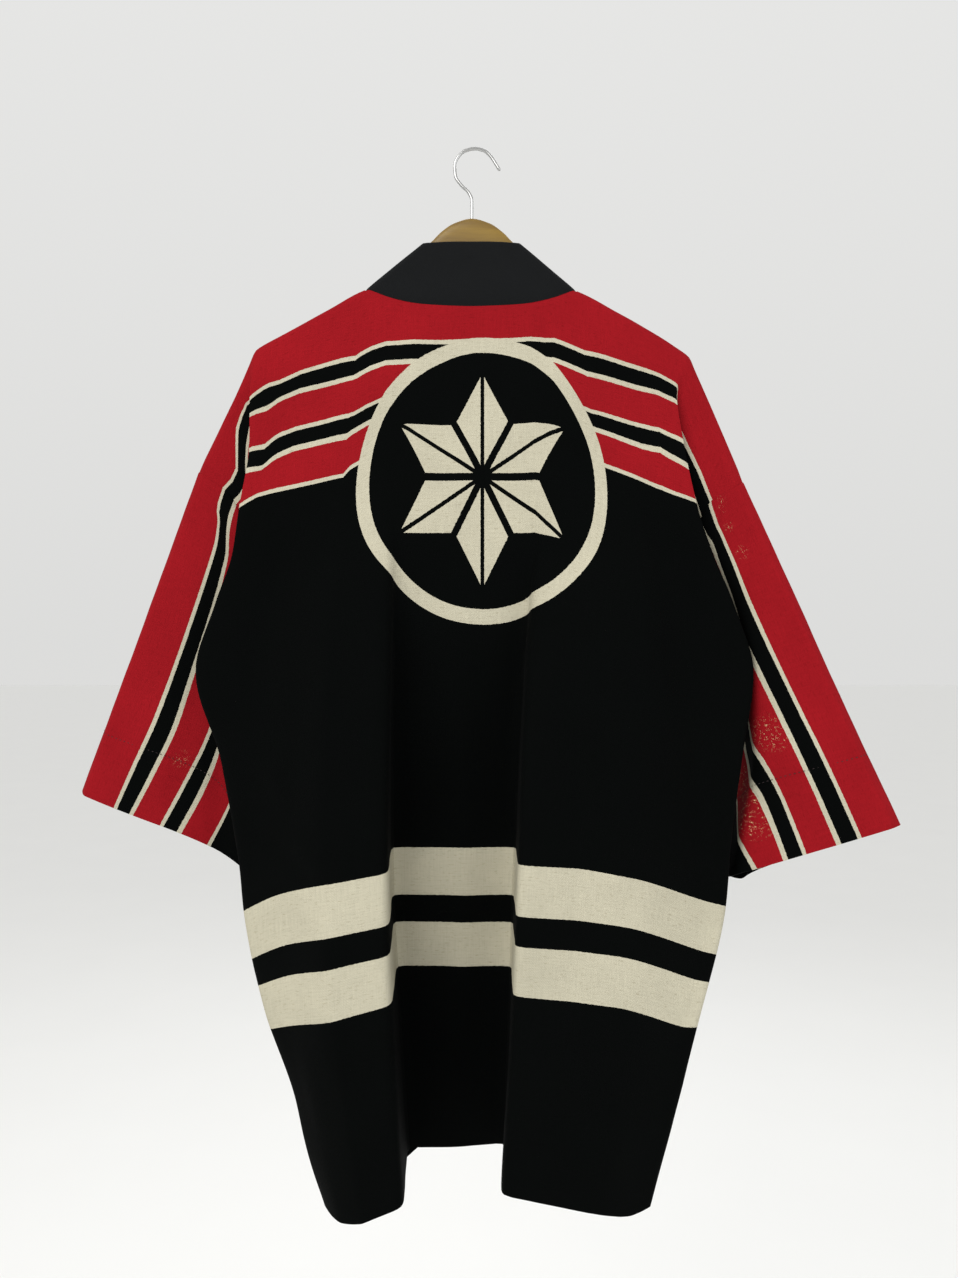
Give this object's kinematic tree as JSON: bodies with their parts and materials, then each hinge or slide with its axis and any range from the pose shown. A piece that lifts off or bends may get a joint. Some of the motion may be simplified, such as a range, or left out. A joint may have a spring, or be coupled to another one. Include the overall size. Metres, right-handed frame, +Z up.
{
  "type": "noragi jacket",
  "caption": "Short straight-cut cotton coat with square sleeves and a long collar band, hanging from a wooden hanger with a wire hook.",
  "frame": {"origin": "inside top of the hanger's hook, where the hook bears on what holds it", "axes": "+Z up along the hanging coat, +Y from the coat's back towards its fronts, +X to the right as the back is seen"},
  "size_m": [0.7618, 0.1571, 1.0034],
  "materials": {
    "coat_cotton": "matt plain weave",
    "collar_cotton": "matt doubled plain weave",
    "hanger_wood": "clear satin lacquer",
    "hook_wire": "bright plated wire"
  },
  "bodies": {
    "root": {"back": "coat_cotton", "front_left": "coat_cotton", "front_right": "coat_cotton", "sleeve_left": "coat_cotton", "sleeve_right": "coat_cotton", "collar": "collar_cotton", "hanger_wood": "hanger_wood", "hanger_hook": "hook_wire"}
  },
  "joints": []
}
